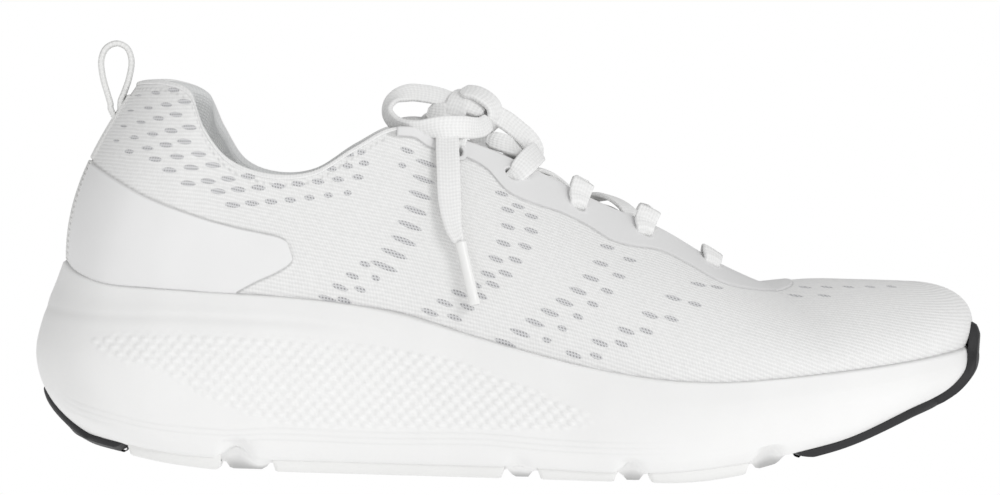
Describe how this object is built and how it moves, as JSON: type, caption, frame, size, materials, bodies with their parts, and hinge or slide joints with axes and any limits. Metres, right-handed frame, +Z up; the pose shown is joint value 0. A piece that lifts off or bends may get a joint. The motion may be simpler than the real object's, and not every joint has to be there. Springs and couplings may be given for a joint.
{
  "type": "running shoe",
  "caption": "Low-cut lace-up running shoe for the right foot: knit upper on a thick foam midsole with segmented rubber outsole, padded collar, heel pull tab and removable insole.",
  "frame": {"origin": "middle of the footprint at ground level", "axes": "+X from heel to toe, +Y to the inner (medial) side, +Z up"},
  "size_m": [0.2838, 0.1052, 0.1279],
  "materials": {
    "midsole_foam": "matt moulded foam",
    "black_rubber": "matt blown rubber",
    "white_rubber": "satin rubber",
    "stiffener_board": "matt fibre board",
    "padding_foam": "open-cell foam",
    "lining_cloth": "brushed textile",
    "lining_mesh": "fine mesh",
    "knit": "ribbed knit",
    "overlay_film": "smooth bonded film",
    "webbing": "woven tape",
    "lace": "flat woven lace",
    "aglet_plastic": "glossy film"
  },
  "bodies": {
    "shoe": {"midsole": "midsole_foam", "outsole_heel": "black_rubber", "outsole_toe": "black_rubber", "outsole_pad_heel_lateral": "white_rubber", "outsole_pad_heel_medial": "white_rubber", "outsole_pad_midfoot_lateral": "white_rubber", "outsole_pad_midfoot_medial": "white_rubber", "outsole_pad_ball_lateral": "white_rubber", "outsole_pad_ball_medial": "white_rubber", "outsole_pad_forefoot_lateral": "white_rubber", "outsole_pad_forefoot_medial": "white_rubber", "strobel_board": "stiffener_board", "upper_knit": "knit", "vamp_lining": "lining_mesh", "collar_lining": "lining_cloth", "collar_foam": "padding_foam", "heel_counter": "stiffener_board", "toe_puff": "stiffener_board", "heel_overlay_lateral": "overlay_film", "heel_overlay_medial": "overlay_film", "heel_seam_tape": "webbing", "eyestay_overlay": "overlay_film", "eyestay_backing": "stiffener_board", "lace_laced": "lace", "lace_knot": "lace", "lace_loop_lateral": "lace", "lace_loop_medial": "lace", "lace_end_lateral": "lace", "lace_end_medial": "lace", "aglet_lateral": "aglet_plastic", "aglet_medial": "aglet_plastic", "pull_tab_anchor": "webbing"},
    "pull_tab": {"pull_tab_loop": "webbing"},
    "tongue": {"tongue_face": "knit", "tongue_foam": "padding_foam", "tongue_lining": "lining_cloth"},
    "insole": {"sockliner": "padding_foam", "sockliner_cover": "lining_cloth"}
  },
  "joints": [
    {"name": "pull_tab_swing", "type": "hinge", "parent": "shoe", "child": "pull_tab", "pos_m": [-0.11975, 0, 0.1066], "axis": [0, 1, 0], "range_deg": [-50, 6], "stiffness_Nm_per_rad": 0.02},
    {"name": "tongue_tilt", "type": "hinge", "parent": "shoe", "child": "tongue", "pos_m": [0.06875, 0.004, 0.052], "axis": [0, 1, 0], "range_deg": [-4, 0], "stiffness_Nm_per_rad": 1, "springref_deg": 1.15},
    {"name": "sockliner_lift", "type": "hinge", "parent": "shoe", "child": "insole", "pos_m": [0.12726, 0.009, 0.033], "axis": [0, 1, 0], "range_deg": [0, 4]}
  ]
}
